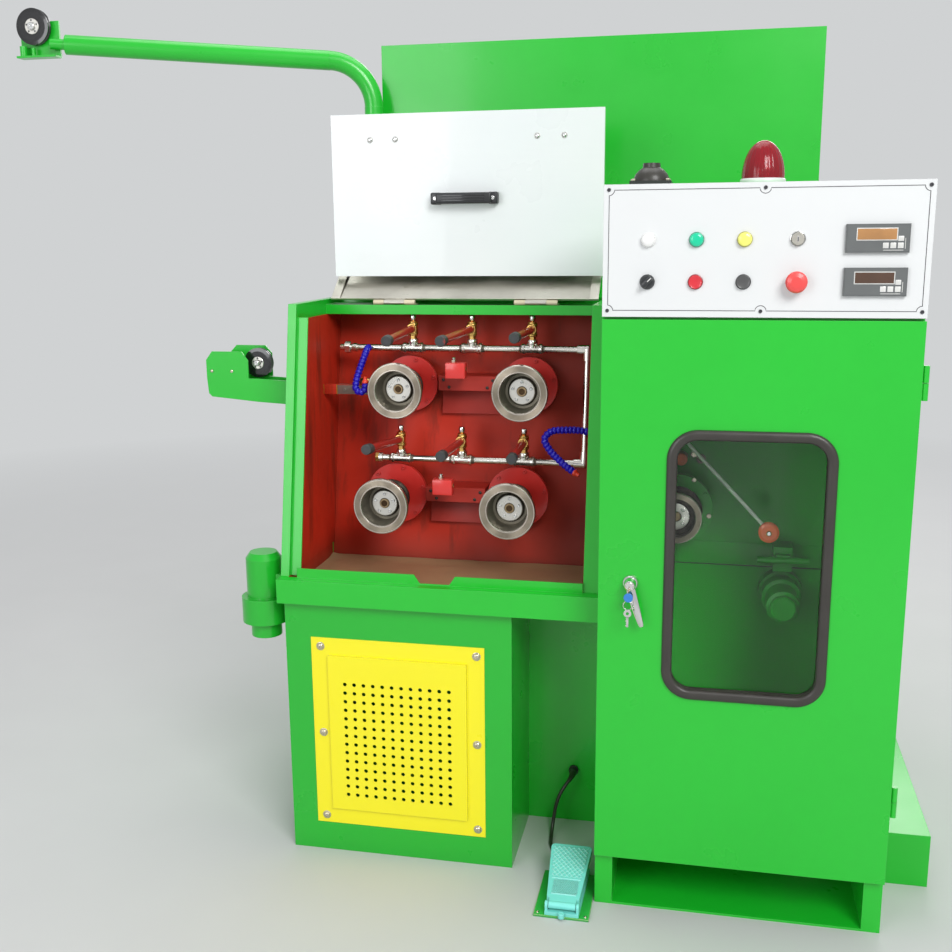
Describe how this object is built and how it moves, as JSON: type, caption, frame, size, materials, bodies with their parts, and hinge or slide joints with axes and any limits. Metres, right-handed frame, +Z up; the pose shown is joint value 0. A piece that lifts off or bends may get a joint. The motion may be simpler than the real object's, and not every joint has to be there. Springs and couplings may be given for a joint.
{
  "type": "wire drawing machine",
  "caption": "Wire drawing machine with an open drawing chamber of cone capstans, a glazed take-up cabinet and a rear electrical cabinet.",
  "frame": {"origin": "on the floor, at the front left corner of the take-up cabinet's left skid", "axes": "+Z up, +X to the right along the front, +Y to the back"},
  "size_m": [2.262, 1.213, 2.011],
  "materials": {
    "green_paint": "gloss",
    "red_paint": "satin",
    "yellow_paint": "gloss",
    "blue_green_paint": "satin",
    "white_panel": "satin",
    "polished_steel": "polished",
    "steel": "satin",
    "brass": "satin",
    "black_plastic": "matte",
    "blue_plastic": "satin",
    "orange_plastic": "satin",
    "red_plastic": "gloss",
    "rubber": "matte",
    "glass": "clear",
    "film": "satin"
  },
  "bodies": {
    "machine": {"left_base": "green_paint", "vent_cover": "yellow_paint", "machine_body": "green_paint", "drip_tray": "green_paint", "chamber_frame": "green_paint", "chamber_liner": "red_paint", "lid_hinges": "steel", "die_trays": "red_paint", "capstan_housings": "red_paint", "coolant_pipes": "steel", "coolant_valves": "brass", "spray_tubes": "red_paint", "coolant_hoses": "blue_plastic", "rear_cabinet": "green_paint", "takeup_cabinet": "green_paint", "cabinet_base": "green_paint", "gear_plate": "green_paint", "control_box": "green_paint", "control_panel": "white_panel", "panel_instruments": "black_plastic", "beacon": "red_plastic", "cable_glands": "black_plastic", "guide_arm": "green_paint", "infeed_bracket": "green_paint", "coolant_strainer": "green_paint", "pedal_base": "blue_green_paint", "pedal_cord": "rubber"},
    "door": {"door": "green_paint", "window_pane": "glass", "window_gasket": "rubber"},
    "door_lock": {"door_lock": "polished_steel"},
    "lid_top": {"lid_top": "steel"},
    "lid_front": {"lid_front": "film", "lid_handle": "black_plastic"},
    "capstan_upper_left": {"capstan_upper_left": "polished_steel"},
    "capstan_upper_right": {"capstan_upper_right": "polished_steel"},
    "capstan_lower_left": {"capstan_lower_left": "polished_steel"},
    "capstan_lower_right": {"capstan_lower_right": "polished_steel"},
    "final_capstan": {"final_capstan": "polished_steel"},
    "dancer_arm": {"dancer_arm": "steel"},
    "dancer_pulley": {"dancer_pulley": "orange_plastic"},
    "takeup_spindle": {"takeup_spindle": "green_paint"},
    "arm_pulley": {"arm_pulley": "black_plastic"},
    "infeed_pulley": {"infeed_pulley": "black_plastic"},
    "selector_switch": {"selector_switch": "black_plastic"},
    "emergency_stop": {"emergency_stop": "red_plastic"},
    "pedal_treadle": {"pedal_treadle": "blue_green_paint"}
  },
  "joints": [
    {"name": "door_swing", "type": "hinge", "parent": "machine", "child": "door", "pos_m": [0.607, -0.011, 0.7], "axis": [0, 0, 1], "range_deg": [0, 110]},
    {"name": "lock_lever", "type": "hinge", "parent": "door", "child": "door_lock", "pos_m": [0.066, -0.046, 0.747], "axis": [0, 1, 0], "range_deg": [-73, 16]},
    {"name": "lid_swing", "type": "hinge", "parent": "machine", "child": "lid_top", "pos_m": [-0.386, 0.43, 1.2863], "axis": [1, 0, 0], "range_deg": [0, 145]},
    {"name": "lid_fold", "type": "hinge", "parent": "lid_top", "child": "lid_front", "pos_m": [-0.367, 0.4947, 1.6713], "axis": [1, 0, 0], "range_deg": [-156.01, 0]},
    {"name": "upper_left_spin", "type": "hinge", "parent": "machine", "child": "capstan_upper_left", "pos_m": [-0.52, 0.365, 1.085], "axis": [0, 1, 0], "continuous": true},
    {"name": "upper_right_spin", "type": "hinge", "parent": "machine", "child": "capstan_upper_right", "pos_m": [-0.22, 0.365, 1.085], "axis": [0, 1, 0], "continuous": true},
    {"name": "lower_left_spin", "type": "hinge", "parent": "machine", "child": "capstan_lower_left", "pos_m": [-0.543, 0.303, 0.818], "axis": [0, 1, 0], "continuous": true},
    {"name": "lower_right_spin", "type": "hinge", "parent": "machine", "child": "capstan_lower_right", "pos_m": [-0.239, 0.303, 0.818], "axis": [0, 1, 0], "continuous": true},
    {"name": "final_spin", "type": "hinge", "parent": "machine", "child": "final_capstan", "pos_m": [0.144, 0.36, 0.8], "axis": [0, 1, 0], "continuous": true},
    {"name": "dancer_swing", "type": "hinge", "parent": "machine", "child": "dancer_arm", "pos_m": [0.13, 0.345, 1.011], "axis": [0, 1, 0], "range_deg": [-20, 15], "stiffness_Nm_per_rad": 6},
    {"name": "dancer_pulley_spin", "type": "hinge", "parent": "dancer_arm", "child": "dancer_pulley", "pos_m": [0.354, 0.331, 0.774], "axis": [0, 1, 0], "continuous": true},
    {"name": "takeup_spin", "type": "hinge", "parent": "machine", "child": "takeup_spindle", "pos_m": [0.395, 0.4, 0.59], "axis": [0, 1, 0], "continuous": true},
    {"name": "arm_pulley_spin", "type": "hinge", "parent": "machine", "child": "arm_pulley", "pos_m": [-1.488, 0.473, 1.967], "axis": [0, 1, 0], "continuous": true},
    {"name": "infeed_pulley_spin", "type": "hinge", "parent": "machine", "child": "infeed_pulley", "pos_m": [-0.876, 0.351, 1.143], "axis": [0, 1, 0], "continuous": true},
    {"name": "selector_turn", "type": "hinge", "parent": "machine", "child": "selector_switch", "pos_m": [0.086, -0.028, 1.353], "axis": [0, 1, 0], "range_deg": [0, 90]},
    {"name": "emergency_press", "type": "slide", "parent": "machine", "child": "emergency_stop", "axis": [0, 1, 0], "range_m": [0, 0.005], "stiffness_N_per_m": 600, "springref_m": -0.005},
    {"name": "pedal_press", "type": "hinge", "parent": "machine", "child": "pedal_treadle", "pos_m": [-0.063, -0.066, 0.024], "axis": [1, 0, 0], "range_deg": [-9, 0], "stiffness_Nm_per_rad": 15, "springref_deg": 11.46}
  ],
  "couplings": [
    {"joint": "lid_fold", "follows": "lid_swing", "ratio": -1.0759},
    {"joint": "upper_right_spin", "follows": "upper_left_spin", "ratio": 1},
    {"joint": "lower_left_spin", "follows": "upper_left_spin", "ratio": 1.5},
    {"joint": "lower_right_spin", "follows": "upper_left_spin", "ratio": 1.5},
    {"joint": "final_spin", "follows": "upper_left_spin", "ratio": 2}
  ]
}
